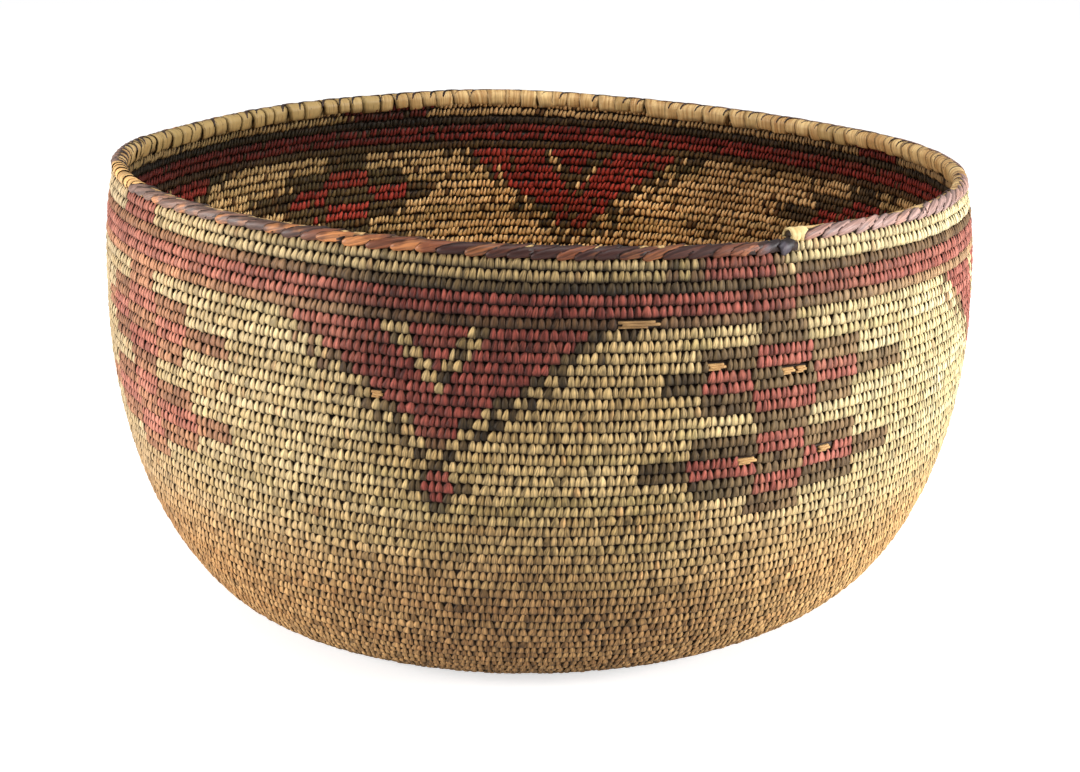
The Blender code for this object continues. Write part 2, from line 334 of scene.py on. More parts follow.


# the sewing: each strand's dye, the wear on it, painted light and shade on it, and painted shade in the
# gaps round it
def sewingMaterial():
    colours, outside, inside = sewingColours, sewingColours["outside"], sewingColours["inside"]
    made = StrandFinish("sewing_strands")
    bench, place, x, z = made.bench, made.place, made.x, made.z
    seed, across, along = made.seed, made.across, made.along
    kind, inner = bench.attribute("strandKind"), bench.attribute("insideFace")
    straw, motif, outer = kind.maths("LESS_THAN", 0.5), kind.maths("GREATER_THAN", 0.5), 1 - inner
    strandTone = bench.attribute("strandTone")
    second = seed.scattered(scatter["second"]) * 0.45 + strandTone * 0.55
    third = seed.scattered(scatter["third"], scatter["thirdShift"])
    blotch, patch = bench.noise(place, 30, 3), bench.noise(place, 11, 2)
    side = abs(x / bowl["widest"]).between(0.12, 0.92)
    middle = 1 - side
    left = x.between(-0.06, -0.2)
    upper = z.between(0.2, 0.232) * middle
    lowWall = 1 - (z + (patch - 0.5) * 0.05).between(0.055, 0.135)
    # paler towards the sides: fading, and painted side light
    pale = side * 0.85 + (blotch - 0.5) * 0.5
    greener = strandTone.scattered(scatter["third"]).between(0.55, 1.0) * 0.45
    greener = greener + third.between(0.6, 1.0) * 0.25 + (patch - 0.5) * 0.8

    def threeTone(tones):
        light, deep, green = (paint(*tone) for tone in tones)
        return greener.mixed(second.mixed(deep, light), green)

    def bySide(name):
        return pale.mixed(threeTone(outside[name]), threeTone(outside[name + "Pale"]))

    def tinted(colour, name, where=1.0):
        low, high, tint = sewingTints[name]
        return (x.between(low, high) * where).mixed(colour, tint, "MULTIPLY")

    # the lower wall's worn tan, paler at the sides from fading and from painted side light
    worn = side.mixed(threeTone(outside["wornDark"]), threeTone(outside["worn"]))
    colour = (lowWall * 0.95).mixed(bySide("straw"), worn)
    colour = inner.mixed(colour, threeTone(inside["straw"]))
    for name in ("red", "dark", "brown"):
        dyed = inner.mixed(bySide(name), threeTone(inside[name]))
        colour = kind.isNear(strand[name]).mixed(colour, dyed)
    odd = seed.maths("GREATER_THAN", 0.985) * straw * 0.35
    colour = odd.mixed(colour, colours["oddOrange"])
    veiled = left * motif * outer * (0.22 + (blotch - 0.5) * 0.5)
    colour = veiled.mixed(colour, colours["leftVeil"])
    # painted highlights on the crowns, lighter streaks of grain, darker splits, and painted shade in the
    # middle of the front, its upper rows and under each row; painted light and shade deep inside
    fibre = made.grain(3.2, 0.8, 3, 0.65)
    # crown: a painted highlight along the middle of each stitch
    crown = abs(across - 0.5 + (third - 0.5) * 0.3).between(0.46, 0.06)
    tone = 0.455 - middle * 0.24 + fibre.between(0.40, 0.62) * (0.30 + middle * 0.36)
    tone = tone + crown * (0.14 + middle * 0.26) + (0.42 + middle * 0.1 + inner * 0.2) * third
    tone = tone + (blotch - 0.5) * 0.35 + inner * (patch - 0.5) * 0.5
    split = 1 - abs(made.grain(2.2, 0.6, 1, 0.5, (53, 29)) - 0.5).between(0.0, 0.09)
    tone = tone * (1 - split * (0.16 + middle * 0.3 + inner * 0.1))
    tone = tone * (1 - upper * outer * (0.1 + straw * 0.1))
    tone = tone + inner * (1 - tone) * 0.48
    # painted shade on the centre of the front
    centre = abs(x + 0.02).between(0.11, 0.05) * z.between(0.14, 0.18) * outer
    lower = z.between(0.225, 0.19) * motif * side.between(0.0, 0.4)
    tone = tone * (1 - centre * 0.16) * (1 + lower * 0.2) * (1 - left * lowWall * 0.18)
    # painted light and shade on the inner wall: darker near the rim, lighter further down
    farLeft = x.between(0.0, -0.15)
    insideLightAndShade = z.between(0.238, 0.19) * (0.76 + farLeft * 0.38) - 0.33 - farLeft * 0.33
    insideLightAndShade = insideLightAndShade + z.between(0.2, 0.17) * 0.22 + z.between(0.234, 0.24) * straw * farLeft * 0.36
    # painted shade towards each stitch's foot, stronger in the middle and the upper rows
    footShade = along.between(0.62, 0.08) * (0.12 + middle * 0.46 + upper * 0.22) * outer
    colour = bench.multiplied(colour, tone * (1 + inner * insideLightAndShade) * (1 - footShade))
    wall = tinted(tinted(colour, "left"), "farLeft")
    wall = tinted(wall, "leftDarks", kind.maths("GREATER_THAN", 1.5))
    wall = tinted(wall, "rightReds", kind.isNear(strand["red"]))
    hollow = tinted(tinted(colour, "insideLeft"), "insideMiddle", x.between(0.13, 0.08))
    colour = inner.mixed(wall, tinted(hollow, "insideFarRight"))
    # painted shade in the gaps at each stitch's edges, its top and its hem, fainter and browner on the
    # right
    low = 0.13 + middle * 0.34 + inner * 0.32 + upper * 0.26
    edges = made.edges(0.36) * (low + along.between(0.38, 0.82) * (0.88 - low))
    top = along.between(0.90, 1.0) * 0.55
    hemShade = along.between(0.30, 0.07) * (0.60 + middle * 0.40)
    gapShade = edges.maths("MAXIMUM", top.maths("MAXIMUM", hemShade))
    right = x.between(0.06, 0.23) * outer
    gapShade = gapShade * (1 - right * 0.7 - x.between(-0.06, -0.23) * 0.2)
    colour = gapShade.mixed(colour, right.mixed(colours["gapShade"], colours["gapShadeRight"]))
    return made.finish(colour, 0.5 + fibre * 0.2 + gapShade * 0.3, fibre, 0.3 * mm, 1.0, 0.2)


def fibreMaterial(name, pale, deep, grain=9.0, roughness=0.6):
    made = StrandFinish(name)
    fibre = made.grain(grain, 1.2)
    colour = made.twoTone(fibre, made.bench.noise(made.place, 60, 3), {"deep": deep, "pale": pale})
    return made.finish(colour, roughness - 0.1 + fibre * 0.2, fibre, 0.15 * mm, 0.7)


strapColours = {
    "pale": paint(228, 194, 134),
    "deep": paint(168, 124, 72),
    "olive": paint(164, 138, 86),
    "bare": paint(238, 184, 116),
    # painted shade: at the strands' edges and low ends, and where the lashing hides them
    "edge": paint(62, 36, 18),
    "shadeUnderLashing": paint(44, 26, 20),
}


# broad rim strands: pale at the back, olive to the left, with painted shade along their edges and low ends,
# and dark with painted shade where the lashing hides them
def strapMaterial():
    colours = strapColours
    made = StrandFinish("rim_strap_strands")
    bench, x, seed, across, along = made.bench, made.x, made.seed, made.across, made.along
    fibre = made.grain(11, 1.2)
    blotch = bench.noise(made.place, 60, 3)
    bare = bench.attribute("bareStrap")
    leftBack = x.between(-0.02, -0.17) * made.y.between(-0.04, 0.05)
    oddOlive = seed.scattered(scatter["third"]).between(0.8, 1.0) * 0.5
    colour = (leftBack * 0.85 + oddOlive).mixed(made.twoTone(fibre, blotch, colours), colours["olive"])
    colour = (bare * x.between(-0.1, -0.2) * blotch.between(0.35, 0.6)).mixed(colour, colours["bare"])
    broken = bench.noise(bench.vector(seed * 31, along * 4, across * 1.5), 1.0, 2).between(0.42, 0.6)
    # painted shade along the edges and at the low end
    edges = made.edges(0.42) * (0.12 + broken * 0.5 + along.between(0.5, 0.95) * 0.3)
    split = (across * 3.7 + seed * 7 + (fibre - 0.5) * 0.5 + (along - 0.5) * 0.4).maths("FRACT")
    split = abs(split - 0.5).between(0.42, 0.5) * broken * (0.35 + leftBack * 0.5)
    low = (along + (blotch - 0.5) * 0.5).between(0.84, 1.0) * 0.6
    dark = edges.maths("MAXIMUM", low).maths("MAXIMUM", split)
    # painted shade where the lashing hides the strap
    outside = along.between(0.36, 0.28) * (1 - bare)
    colour = outside.mixed(dark.mixed(colour, colours["edge"]), colours["shadeUnderLashing"])
    return made.finish(colour, 0.45 + fibre * 0.2, fibre, 0.15 * mm, 0.7)


barkColours = {
    "deep": paint(60, 29, 23),
    "brown": paint(128, 72, 44),
    "orange": paint(202, 132, 78),
    "mauve": paint(132, 106, 94),
    "pink": paint(192, 158, 148),
    # painted shade along the strips' edges and ends
    "line": paint(20, 10, 7),
    "blue": paint(66, 64, 76),
}


# dark strips round the rim: purple-brown, worn to orange in front and mauve at the sides, with painted
# shade along their edges and ends
def barkMaterial():
    colours = barkColours
    made = StrandFinish("rim_bark_strips")
    x, seed, along = made.x, made.seed, made.along
    fibre = made.grain(5, 1.3, 4, 0.65)
    patch = made.bench.noise(made.place, 90, 3) + (fibre - 0.5) * 0.35
    second, third = seed.scattered(scatter["second"]), seed.scattered(scatter["third"])
    colour = (fibre * 0.6 + second * 0.5).between(0.4, 0.85).mixed(colours["deep"], colours["brown"])
    sideMix = abs(x / bowl["widest"]).between(0.32, 0.7) * (0.75 + (patch - 0.5) * 0.8)
    colour = sideMix.mixed(colour, x.between(0.0, 0.1).mixed(colours["mauve"], colours["pink"]))
    orange = (patch * 0.8 + third * 0.4).between(0.62, 0.85) * (0.24 + x.between(-0.02, -0.08) * 0.56)
    colour = orange.mixed(colour, colours["orange"])
    colour = made.bench.multiplied(colour, 0.62 + fibre.between(0.38, 0.62) * 0.58)
    nearEnd = x.between(0.104, 0.112) * x.between(0.130, 0.127) * made.y.between(-0.19, -0.2)
    colour = (nearEnd * 0.8).mixed(colour, colours["blue"])
    # painted shade along each strip's edges and at its ends
    ends = along.between(0.06, 0.0).maths("MAXIMUM", along.between(0.52, 0.66))
    colour = (made.edges(0.36).maths("MAXIMUM", ends) * 0.85).mixed(colour, colours["line"])
    return made.finish(colour, 0.34 + fibre * 0.3, fibre, 0.3 * mm, 0.9)


finishes = {
    "sewing": sewingMaterial(),
    # the foundation's near-black brown is painted shade for the grooves between rows and under the straps
    "foundation": fibreMaterial("foundation_splints_painted_shade", paint(62, 42, 26), paint(32, 20, 12)),
    "strap": strapMaterial(),
    "bark": barkMaterial(),
    "rod": fibreMaterial("peeled_rod", paint(178, 140, 88), paint(120, 88, 52)),
    "splint": fibreMaterial("worn_splint", paint(222, 180, 118), paint(158, 114, 66), 14.0),
    "sleeve": fibreMaterial("rim_end_sleeve", paint(236, 214, 156), paint(196, 162, 104), 14.0, 0.55),
}
print("finishes made")


def newObject(name, mesh):
    made = bpy.data.objects.new(name, mesh)
    bpy.context.scene.collection.objects.link(made)
    return made


def newMesh(name, points, faces=()):
    mesh = bpy.data.meshes.new(name)
    mesh.from_pydata(np.reshape(points, (-1, 3)).tolist(), [], faces)
    return mesh


# the faces between the points of a grid, round or open across
def gridFaces(rows, columns, roundAcross):
    faces = []
    across = columns if roundAcross else columns - 1
    for i in range(rows - 1):
        for j in range(across):
            k = (j + 1) % columns
            faces.append((i * columns + j, (i + 1) * columns + j, (i + 1) * columns + k, i * columns + k))
    return faces


def setUv(mesh, uv):
    layer = mesh.uv_layers.new(name="UVMap")
    corners = np.empty(len(mesh.loops), dtype=np.int64)
    mesh.loops.foreach_get("vertex_index", corners)
    layer.data.foreach_set("uv", np.asarray(uv, np.float32)[corners].ravel())


def squareNormals(mesh):
    work = bmesh.new()
    work.from_mesh(mesh)
    bmesh.ops.remove_doubles(work, verts=work.verts, dist=0.001 * mm)
    bmesh.ops.recalc_face_normals(work, faces=work.faces)
    work.to_mesh(mesh)
    work.free()


# rows of points with their faces and both ends; across and along place the grain
def closedMesh(name, points, faces, across, along):
    rows, columns = points.shape[:2]
    faces.append(tuple(range(columns)))
    faces.append(tuple((rows - 1) * columns + j for j in reversed(range(columns))))
    mesh = newMesh(name, points, faces)
    setUv(mesh, np.stack([np.tile(across, rows), np.repeat(along, columns)], -1))
    squareNormals(mesh)
    mesh.shade_smooth()
    return mesh


# a closed strip of rows of points: its top, and an underside straight across from edge to edge
def stripMesh(name, points, across, upwards=False):
    points = np.array(points)
    rows, columns = points.shape[:2]
    faces = gridFaces(rows, columns, False)
    for i in range(rows - 1):
        left, right = i * columns, i * columns + columns - 1
        faces.append((right, right + columns, left + columns, left))
    along = np.arange(rows) / (rows - 1)
    return closedMesh(name, points, faces, across * 0.5 + 0.5, 1 - along if upwards else along)


stitch = {
    "step": 3.55 * mm,          # width of one stitch along the coil
    "stepInside": 3.15 * mm,
    "unevenness": 0.16,
    "drift": 0.08,              # how far the width wanders along the coil
    "strandLength": 16,         # stitches sewn with one strand
    "variants": 4,
    "faces": {
        # each station: up the wall in turns, out in mm, half width as a share of the step
        "outside": {
            "dome": 0.50 * mm,  # how far the edges drop below the crown
            "across": (-1.0, -0.42, 0.42, 1.0),
            "stations": ((0.76, -2.0, 0.0), (0.60, -1.05, 0.20), (0.40, -0.45, 0.38), (0.14, 0.10, 0.54),
                         (-0.14, 0.30, 0.58), (-0.38, -0.20, 0.59), (-0.49, -1.8, 0.56)),
        },
        "inside": {
            "dome": 1.0 * mm,
            "across": (-1.0, 0.0, 1.0),
            "stations": ((0.72, -1.5, 0.0), (0.38, -0.15, 0.36), (-0.08, 0.25, 0.50), (-0.56, -1.2, 0.47)),
        },
        "base": {
            "dome": 0.6 * mm,
            "across": (-1.0, 0.0, 1.0),
            "stations": ((0.60, -1.8, 0.0), (0.30, -0.35, 0.44), (-0.10, -0.30, 0.55), (-0.48, -1.5, 0.54)),
        },
    },
    "bend": 0.10,               # of a leaf's middle, to either side
    "halfSpread": (0.92, 1.06),
    "stationSpread": 0.02,      # turns
    "spread": (0.06, 0.08, 10.0, 0.28 * mm),    # of a leaf's width, length, lean in degrees, and lift
    "leanOutside": 6.0,         # degrees, to the right at the top
    "leanInside": 19.0,
    "upSpread": 0.045,          # turns, for each stitch
    "upSpreadInside": 0.15,
    "raggedInside": 0.7,        # degrees by which the motifs' edges waver on the inside
    "oddInside": 0.05,          # share of the stitches that are sewn in another colour there
}


def stitchLeaf(name, face, rng):
    across = np.array(face["across"])
    last = len(face["stations"]) - 1
    points = []
    bend = rng.uniform(-stitch["bend"], stitch["bend"])
    for i, (up, out, half) in enumerate(face["stations"]):
        half = half * rng.uniform(*stitch["halfSpread"])
        x = (across * half + bend * math.sin(math.pi * i / last)) * stitch["step"]
        up = up + rng.uniform(-stitch["stationSpread"], stitch["stationSpread"])
        z = out * mm - face["dome"] * across ** 2 * min(1.0, half * 2)
        points.append(np.stack([x, np.full(len(across), up * bowl["pitch"]), z], -1))
    return stripMesh(name, points, across, True)


def leafCollection(name, meshes):
    shelf = bpy.data.collections.new(name)
    for i, mesh in enumerate(meshes):
        shelf.objects.link(bpy.data.objects.new(f"{name}_{i:02d}", mesh))
    return shelf


def stitchLeaves():
    rng = np.random.default_rng(11)
    meshes = []
    for side, face in stitch["faces"].items():
        for i in range(stitch["variants"]):
            meshes.append(stitchLeaf(f"stitch_{side}_{i}", face, rng))
    return leafCollection("stitch_shelf", meshes)


placingInputs = {
    "Geometry": "Geometry", "Leaves": "Collection", "Finish": "Material", "Variants": "Int", "Seed": "Int",
    "Width Spread": "Float", "Length Spread": "Float", "Lean Spread": "Float", "Lift Spread": "Float",
}


# geometry nodes that set a leaf at each point, turned to the coil, and make it real
def placingTree():
    tree = bpy.data.node_groups.new("place_on_coil", "GeometryNodeTree")
    tree.interface.new_socket("Geometry", in_out="OUTPUT", socket_type="NodeSocketGeometry")
    sockets = {}
    for name, kind in placingInputs.items():
        socket = tree.interface.new_socket(name, in_out="INPUT", socket_type="NodeSocket" + kind)
        sockets[name] = socket.identifier
    entry = tree.nodes.new("NodeGroupInput")
    given = {name: Wire(tree, entry.outputs[name]) for name in placingInputs}
    bench = Wire(tree)

    def randomly(offset):
        values = {2: -1.0, 3: 1.0, "Seed": given["Seed"] + offset}
        return bench.node("FunctionNodeRandomValue", values, 1, data_type="FLOAT")

    def named(name, kind="FLOAT"):
        return bench.node("GeometryNodeInputNamedAttribute", {"Name": name}, data_type=kind)

    along, outward = named("alongCoil", "FLOAT_VECTOR"), named("outOfWall", "FLOAT_VECTOR")
    turned = bench.node("FunctionNodeAxesToRotation", {0: outward, 1: along},
                        primary_axis="Z", secondary_axis="X")
    lean = named("leafLean") + given["Lean Spread"] * randomly(1)
    leaning = bench.node("FunctionNodeAxisAngleToRotation", {"Axis": (0, 0, 1), "Angle": lean})
    turned = bench.node("FunctionNodeRotateRotation", {0: turned, 1: leaning}, rotation_space="LOCAL")
    wide = named("leafWidth") * (1 + given["Width Spread"] * randomly(2))
    scale = bench.vector(wide, 1 + given["Length Spread"] * randomly(3), 1.0)
    lift = {0: outward, "Scale": given["Lift Spread"] * randomly(4)}
    lift = bench.node("ShaderNodeVectorMath", lift, operation="SCALE")
    lifted = bench.node("GeometryNodeSetPosition", {"Geometry": given["Geometry"], "Offset": lift})
    leaves = {"Collection": given["Leaves"], "Separate Children": True, "Reset Children": True}
    leaves = bench.node("GeometryNodeCollectionInfo", leaves)
    choice = ((randomly(5) * 0.5 + 0.5) * given["Variants"]).maths("FLOOR")
    choice = choice.maths("MINIMUM", given["Variants"] - 1) + named("firstLeaf")
    placed = {"Points": lifted, "Instance": leaves, "Pick Instance": True, "Instance Index": choice,
              "Rotation": turned, "Scale": scale}
    placed = bench.node("GeometryNodeInstanceOnPoints", placed)
    real = bench.node("GeometryNodeRealizeInstances", {0: placed})
    real = bench.node("GeometryNodeSetMaterial", {"Geometry": real, "Material": given["Finish"]})
    end = tree.nodes.new("NodeGroupOutput")
    tree.links.new(real.socket, end.inputs["Geometry"])
    return tree, sockets


placing, placingSockets = placingTree()


# one point for each leaf, with what the tree and the finish need to know
def placePiece(name, points, facts, shelf, variants, spread, finish, seed):
    mesh = newMesh(name + "_points", points)
    for key, values in facts.items():
        values = np.asarray(values, np.float32)
        kind = "FLOAT_VECTOR" if values.ndim == 2 else "FLOAT"
        field = "vector" if values.ndim == 2 else "value"
        mesh.attributes.new(key, kind, "POINT").data.foreach_set(field, values.ravel())
    carrier = newObject(name, mesh)
    modifier = carrier.modifiers.new("place", "NODES")
    modifier.node_group = placing
    wide, long, lean, lift = spread
    settings = (shelf, finish, variants, seed, wide, long, math.radians(lean), lift)
    for key, value in zip(list(placingInputs)[1:], settings):
        modifier[placingSockets[key]] = value
    graph = bpy.context.evaluated_depsgraph_get()
    evaluated = carrier.evaluated_get(graph)
    real = bpy.data.meshes.new_from_object(evaluated, preserve_all_data_layers=True, depsgraph=graph)
    carrier.modifiers.remove(modifier)
    carrier.data = real
    real.name = name
    bpy.data.meshes.remove(mesh)
    for key in ("alongCoil", "outOfWall", "firstLeaf", "leafLean", "leafWidth"):
        spare = real.attributes.get(key)
        if spare:
            real.attributes.remove(spare)
    return carrier


bandKinds = {3: "dark", 4: "red", 5: "red", 6: "brown"}        # by row below the rim

upperBlocks = {"rows": (1, 2), "spans": ((18.5, 27.5), (296.0, 305.5), (198.5, 213.0), (111.5, 122.0))}

diamonds = {
    "centres": (28.75, -57.0, 213.0, 120.5),
    "column": 7.35,             # degrees
    "firstRow": 7,
    "rowsPerLevel": 2,
    "levels": ("..D..", ".DRD.", "DRDRD", ".DRD.", "..D..", ".DRD.", "DRDRD", ".DRD.", "..D.."),
    "shortArm": (2, -15.3),     # the level whose left arm starts late, and where, in degrees
}

vees = {
    # degrees round from the front, and how many stitches of the inner lines are dark
    "centres": ((-11.3, 0.42), (77.0, 0.42), (174.0, 0.85), (258.0, 0.42)),
    "firstRow": 7,
    "halfWidth": 17.5,          # degrees, at its first row
    "narrowing": 1.8,           # a row
    # the outline's lines, out from the red: from, to in degrees, and how many of its stitches are sewn
    "outline": ((-0.4, 1.4, 0.82), (2.8, 4.1, 0.62)),
    "innerHalf": 4.75,
    "innerNarrowing": 1.1,
    "innerEdge": 1.3,
    "tipRow": 17,
    # below the tip: row, from and to in degrees, and kind
    "tail": ((16, -2.3, 2.3, "red"), (17, -4.3, -3.0, "dark"), (17, -1.2, 0.9, "brown"),
             (17, 2.5, 3.8, "dark"), (18, -2.6, -1.6, "dark"), (18, 0.8, 2.1, "dark"),
             (19, -1.0, 0.8, "dark"), (20, -2.2, -1.3, "dark"), (20, -1.3, 1.8, "red"),
             (21, -3.6, 3.4, "dark"), (21, -2.0, 2.0, "red"), (22, -1.8, 1.8, "dark"),
             (22, -0.7, 0.3, "red"), (23, -1.0, 0.8, "dark")),
}

# single strands in another colour among the upper rows: row, from and to in degrees, and kind
strays = (
    (1, 13.9, 15.1, "dark"), (1, 17.4, 18.4, "brown"), (2, 13.8, 15.4, "brown"), (2, 16.8, 18.3, "brown"),
    (1, 27.6, 28.6, "brown"), (2, 27.7, 28.6, "brown"),
)

wornPlaces = (                  # row, from and to in degrees
    (6, 8.5, 13.2), (10, 18.8, 21.0), (12, 30.3, 31.6), (11, 28.2, 30.0), (20, 34.5, 36.2),
    (13, -18.8, -17.5), (19, 23.0, 25.6),
)

coilWaves = {
    "rise": 0.05,               # turns
    # waves to a turn, how far each turn shifts them, where they start, and how tall they are
    "waves": ((5, 0.35, 0.0, 1.0), (11, -0.6, 1.3, 0.7), (23, 1.1, 0.0, 0.5)),
    "together": 2.2,
}


# the coil's slow wandering, in turns up, alike in neighbouring rows
def coilWave(turn):
    around = 2 * math.pi * np.asarray(turn)
    wave = sum(tall * np.sin(count * around + shift * turn + start)
               for count, shift, start, tall in coilWaves["waves"])
    return coilWaves["rise"] * wave / coilWaves["together"]


# the row that a motif counts there: it follows the coil across the jog
def motifRow(turn, azimuth, centre):
    start = ((centre - bowl["jog"]) % 360) / 360
    return np.round(turn - start - degreesFrom(azimuth, centre) / 360).astype(int)


# how far a motif's edge is off its place in this row, as a share of a column: as good as random
def edgeShift(row, column):
    return 0.09 * np.sin(row * 12.9898 + np.round(column) * 78.233)


# stitches in another colour: row, from and to in degrees, and kind
def sewMarks(kind, row, azimuth, marks):
    for markRow, low, high, name in marks:
        kind[(row == markRow) & (azimuth > low) & (azimuth < high)] = strand[name]


def sewDiamonds(kind, turn, azimuth):
    letters = {"D": strand["dark"], "R": strand["red"]}
    middle = len(diamonds["levels"][0]) / 2
    shortLevel, shortFrom = diamonds["shortArm"]
    for centre in diamonds["centres"]:
        across = degreesFrom(azimuth, centre)
        row = motifRow(turn, azimuth, centre) - diamonds["firstRow"]
        level = row // diamonds["rowsPerLevel"]
        column = across / diamonds["column"] + middle
        column = np.floor(column + edgeShift(row, column))
        for i, word in enumerate(diamonds["levels"]):
            for j, letter in enumerate(word):
                if letter in letters:
                    kind[(level == i) & (column == j)] = letters[letter]
        kind[(level == shortLevel) & (column == 0) & (across < shortFrom)] = strand["straw"]


def sewVees(kind, turn, azimuth, chance):
    for centre, innerDark in vees["centres"]:
        row = motifRow(turn, azimuth, centre)
        across = degreesFrom(azimuth, centre)
        away = np.abs(across)
        depth = row - vees["firstRow"]
        half = vees["halfWidth"] - vees["narrowing"] * depth + edgeShift(row, across > 0) * 4
        body = (depth >= 0) & (row < vees["tipRow"])
        kind[body & (away < half)] = strand["red"]
        for low, high, sewn in vees["outline"]:
            edge = body & (away >= half + low) & (away < half + high)
            kind[edge & (chance < sewn)] = strand["dark"]
        inner = vees["innerHalf"] - vees["innerNarrowing"] * depth
        line = body & (inner > -vees["innerEdge"]) & (np.abs(away - inner) < vees["innerEdge"])
        kind[line] = strand["straw"]
        kind[line & (chance < innerDark)] = strand["dark"]
        sewMarks(kind, row, across, vees["tail"])


def strandKinds(turn, rng, ragged=0.0, odd=0.0):
    row = np.floor(turn).astype(int)
    azimuth = (azimuthOf(turn) + rng.normal(0, 1, len(turn)) * ragged) % 360
    kind = np.zeros(len(turn))
    chance = rng.uniform(0, 1, len(turn))
    sewDiamonds(kind, turn, azimuth)
    sewVees(kind, turn, azimuth, chance)
    kind[row < diamonds["firstRow"]] = strand["straw"]
    for bandRow, name in bandKinds.items():
        kind[row == bandRow] = strand[name]
    for low, high in upperBlocks["spans"]:
        sewMarks(kind, row, azimuth, [(block, low, high, "red") for block in upperBlocks["rows"]])
    sewMarks(kind, row, azimuth, strays)
    kind[rng.uniform(0, 1, len(turn)) < odd] = strand["brown"]
    return kind


def isWorn(turn):
    worn = np.zeros(len(turn), bool)
    for row, low, high in wornPlaces:
        worn |= (np.floor(turn) == row) & isWithin(azimuthOf(turn), low, high)
    return worn


stitchShelf = stitchLeaves()


# stitches sewn with one strand share its tone
def strandTones(count, rng):
    fresh = rng.uniform(0, 1, count) < 1 / stitch["strandLength"]
    first = np.maximum.accumulate(np.where(fresh, np.arange(count), 0))
    return rng.uniform(0, 1, count)[first]


# the stitches of one stretch on one face of the wall
def faceStitches(start, end, number, inside):
    seed = 2 * number + inside
    rng = np.random.default_rng(1000 + seed)
    step = stitch["stepInside"] if inside else stitch["step"]
    turn, width = spacedTurns(start, end, step, stitch["unevenness"], stitch["drift"], seed)
    count = len(turn)
    onBase = turn > coilRows["baseFrom"]
    spread = np.where(onBase | (not inside), stitch["upSpread"], stitch["upSpreadInside"])
    skin = -bowl["wall"] if inside else 0.0
    facing = -1 if inside else 1
    along, outward = coilFrame(turn, skin)
    variants = stitch["variants"]
    if inside:
        firstLeaf, lean = np.full(count, variants), np.full(count, stitch["leanInside"])
        kind = strandKinds(turn, rng, stitch["raggedInside"], stitch["oddInside"])
    else:
        firstLeaf, lean = np.where(onBase, 2 * variants, 0), np.where(onBase, 0.0, stitch["leanOutside"])
        kind = strandKinds(turn, rng)
    facts = {
        "place": coilPoint(turn, coilWave(turn) + rng.uniform(-1, 1, count) * spread, skin),
        "alongCoil": along * facing,
        "outOfWall": outward * facing,
        "firstLeaf": firstLeaf,
        "leafLean": -np.radians(lean),
        "leafWidth": width * step / stitch["step"],
        "strandKind": kind,
        "stitchSeed": rng.uniform(0, 1, count),
        "strandTone": strandTones(count, rng),
        "insideFace": np.full(count, float(inside)),
    }
    kept = np.ones(count, bool) if inside else ~isWorn(turn)
    return {key: values[kept] for key, values in facts.items()}


# every stitch of one stretch, on both faces of the wall
def sewStretch(name, start, end, number):
    outer, inner = (faceStitches(start, end, number, inside) for inside in (False, True))
    facts = {key: np.concatenate([outer[key], inner[key]]) for key in outer}
    points = facts.pop("place")
    return placePiece(name, points, facts, stitchShelf, stitch["variants"], stitch["spread"],
                      finishes["sewing"], number)


foundation = {
    "halfRise": 0.52,           # turns
    "halfDepth": 2.4 * mm,
    "sides": 8,
    "stepsPerTurn": 120,
    "fewestSteps": 24,
    "grainStep": 0.4,
}


# a round rod along the coil
def sweptCoil(name, start, end, halfRise, halfDepth, centreOut, steps, centreUp=0.0):
    sides = foundation["sides"]
    turn = np.linspace(start, end, steps)
    angle = 2 * math.pi * np.arange(sides) / sides
    up = coilWave(turn)[:, None] + centreUp + halfRise * np.sin(angle)[None]
    points = coilPoint(turn[:, None], up, centreOut + halfDepth * np.cos(angle)[None])
    along = np.arange(steps) * foundation["grainStep"]
    return closedMesh(name, points, gridFaces(steps, sides, True), np.arange(sides) / sides, along)


def stretches():
    found = []
    turn = coilRows["rimTurns"]
    for name, turns in coilRows["bands"].items():
        found.append((name, turn, turn + turns))
        turn += turns
    for name, last, count in coilRows["lengths"]:
        ends = np.round(np.linspace(turn, last, count + 1)).astype(int)
        found += [(f"{name}_{i + 1}", int(ends[i]), int(ends[i + 1])) for i in range(count)]
        turn = last
    found.append(("start_knot", turn, coilRows["innermost"]))
    return found


def own(piece, slot, *nodes):
    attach(piece, "root")
    if nodes:
        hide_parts(*nodes)


def addRod(name, mesh, finish, *nodes):
    mesh.materials.append(finish)
    own(newObject(name, mesh), "rod", *nodes)


slotOf = {row["node"]: row["material_slot"] for row in frame["record"]["subparts"]}

for number, (name, start, end) in enumerate(stretches()):
    sewn = sewStretch(name + "_sewing", start, end, number)
    own(sewn, slotOf[name], name)
    last = coilRows["foundationEnd"] if name == "start_knot" else end
    steps = max(foundation["fewestSteps"], int((last - start) * foundation["stepsPerTurn"]) + 1)
    rods = sweptCoil(name + "_rods", start, last, foundation["halfRise"], foundation["halfDepth"],
                     -bowl["wall"] / 2, steps)
    addRod(name + "_rods", rods, finishes["foundation"], name)
    print("sewn", name, len(sewn.data.polygons), "faces")


# bare splints where the sewing is worn through, three to each place
splint = {
    "steps": 8,
    # for each: up and half rise in turns, out, and how far short of the place it starts and stops
    "threads": {"a": (0.21, 0.13, -0.8 * mm, 0.0, 0.12), "b": (0.0, 0.14, -0.6 * mm, 0.1, 0.0),
                "c": (-0.2, 0.11, -0.9 * mm, 0.0, 0.3)},
    "halfDepth": 0.9 * mm,
    "darkRow": 6,
}


